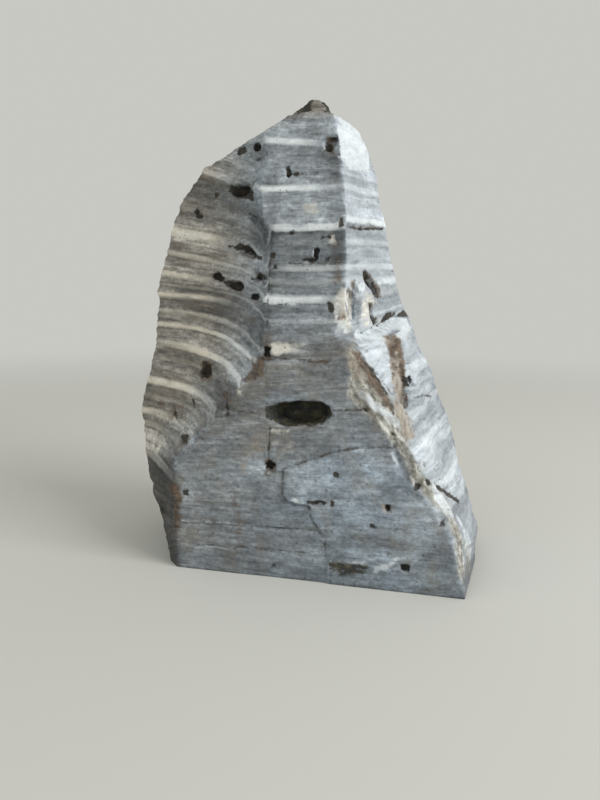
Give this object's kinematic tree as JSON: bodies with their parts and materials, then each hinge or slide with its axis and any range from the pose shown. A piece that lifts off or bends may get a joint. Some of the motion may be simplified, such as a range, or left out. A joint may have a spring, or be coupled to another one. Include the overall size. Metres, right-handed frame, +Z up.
{
  "type": "soapstone block",
  "caption": "Free-standing block of banded grey soapstone, sawn flat underneath and on its lower front, split and weathered elsewhere.",
  "frame": {"origin": "middle of the footprint box, on the flat base", "axes": "+Z up, +X to the right along the sawn lower front, which faces -Y"},
  "size_m": [0.1576, 0.0948, 0.194],
  "materials": {
    "soapstone": "matte, sawn and split, banded"
  },
  "bodies": {
    "root": {"soapstone": "soapstone"}
  },
  "joints": []
}
